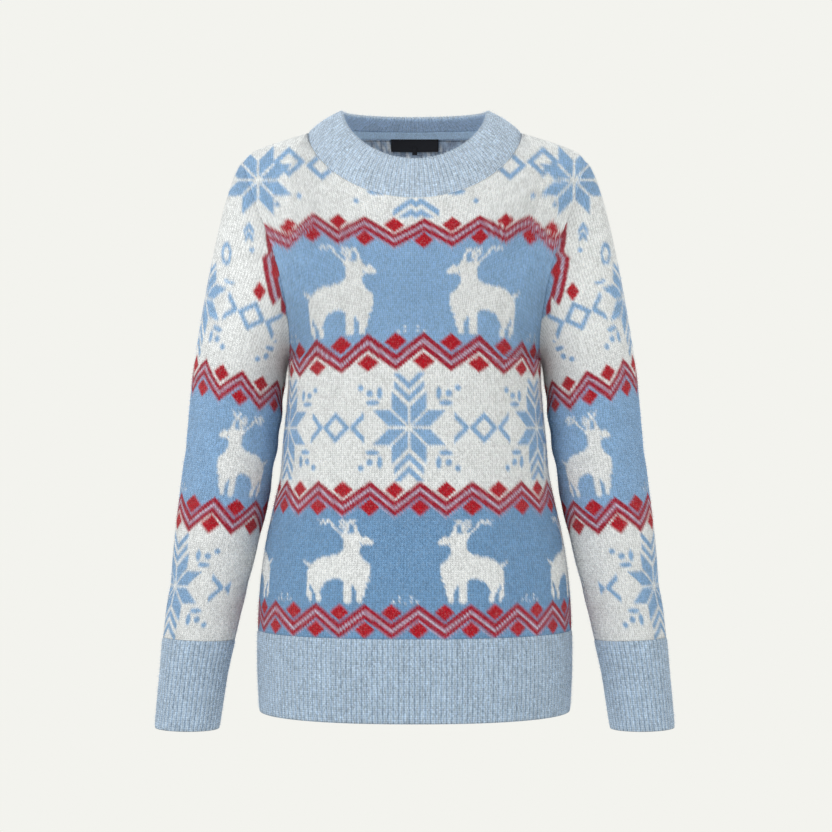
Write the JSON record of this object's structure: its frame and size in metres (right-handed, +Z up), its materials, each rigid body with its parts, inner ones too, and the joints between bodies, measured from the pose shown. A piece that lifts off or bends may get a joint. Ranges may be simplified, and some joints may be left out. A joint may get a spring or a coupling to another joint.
{
  "type": "christmas sweater, worn form with no wearer",
  "caption": "Long-sleeved crew-neck knitted christmas sweater with reindeer, snowflakes and red zigzags, filled out as if worn.",
  "frame": {"origin": "middle of the neck's base, between the shoulders, where the wearer holds the garment", "axes": "+Z up the wearer's neck, -Y out of the front, +X to the right as seen from the front"},
  "size_m": [0.5556, 0.2543, 0.6652],
  "materials": {
    "patterned_knit": "brushed wool, white, blue and red",
    "blue_rib": "ribbed melange wool",
    "neck_tape": "ribbed melange wool",
    "label_weave": "black woven satin"
  },
  "bodies": {
    "root": {"front_panel": "patterned_knit", "back_panel": "patterned_knit", "sleeve_left": "patterned_knit", "sleeve_right": "patterned_knit", "hem_front": "blue_rib", "hem_back": "blue_rib", "cuff_left": "blue_rib", "cuff_right": "blue_rib", "neckband": "blue_rib", "neck_tape": "neck_tape", "neck_label": "label_weave", "label_tab": "label_weave"}
  },
  "joints": []
}
